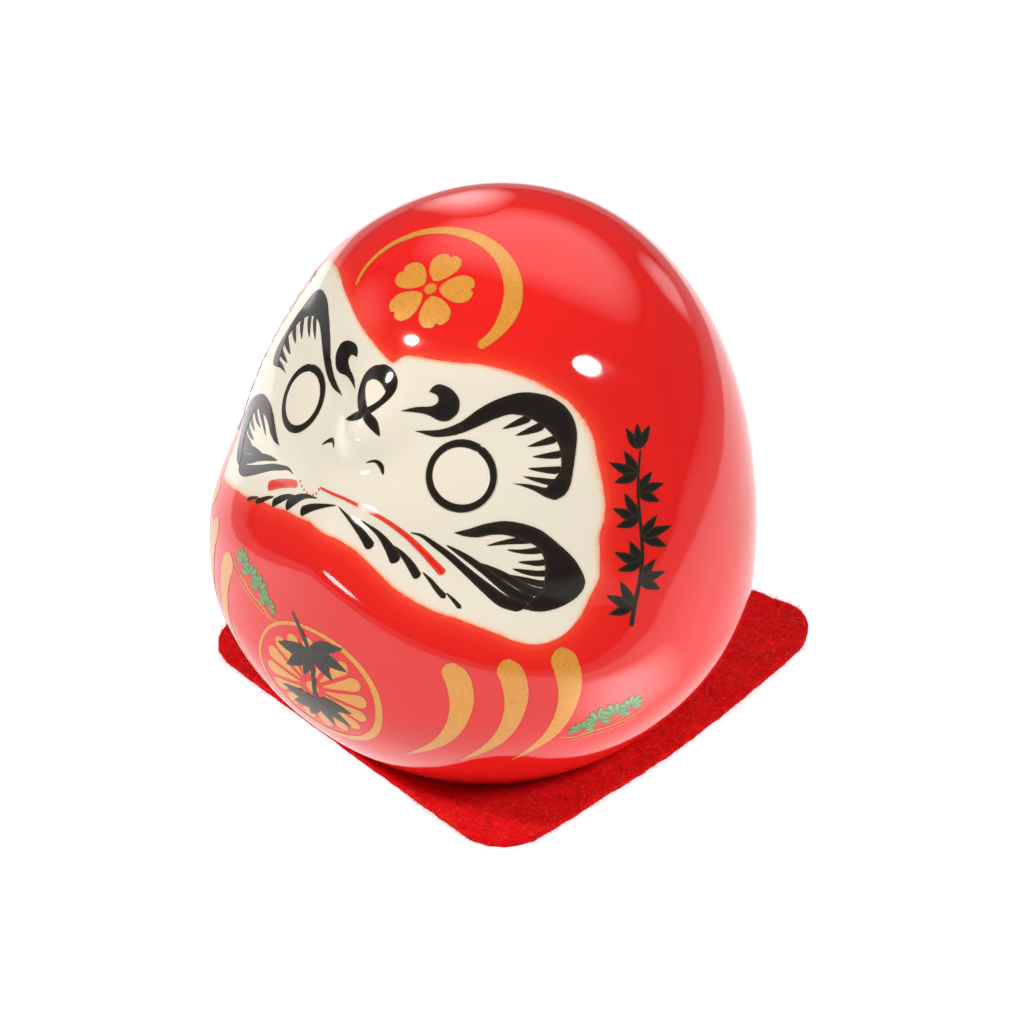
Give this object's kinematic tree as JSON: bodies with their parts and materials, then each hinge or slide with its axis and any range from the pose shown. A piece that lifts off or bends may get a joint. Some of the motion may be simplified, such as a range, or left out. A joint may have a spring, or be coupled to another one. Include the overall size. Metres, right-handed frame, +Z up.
{
  "type": "daruma doll",
  "caption": "Rounded hollow pottery wishing doll with a glazed hood and a painted moustached face, standing loose on a square felt mat.",
  "frame": {"origin": "on the doll's upright axis, at the underside of the felt mat", "axes": "+Z up, the doll faces -Y, its right side is at -X"},
  "size_m": [0.08, 0.0822, 0.077],
  "materials": {
    "red_glaze": "glossy red glaze",
    "red_felt": "matt pressed felt"
  },
  "bodies": {
    "mat": {"felt_mat": "red_felt"},
    "doll": {"ceramic_body": "red_glaze"}
  },
  "joints": [
    {"name": "doll_lift", "type": "slide", "parent": "mat", "child": "doll", "axis": [0, 0, 1], "range_m": [0, 0.1]}
  ]
}
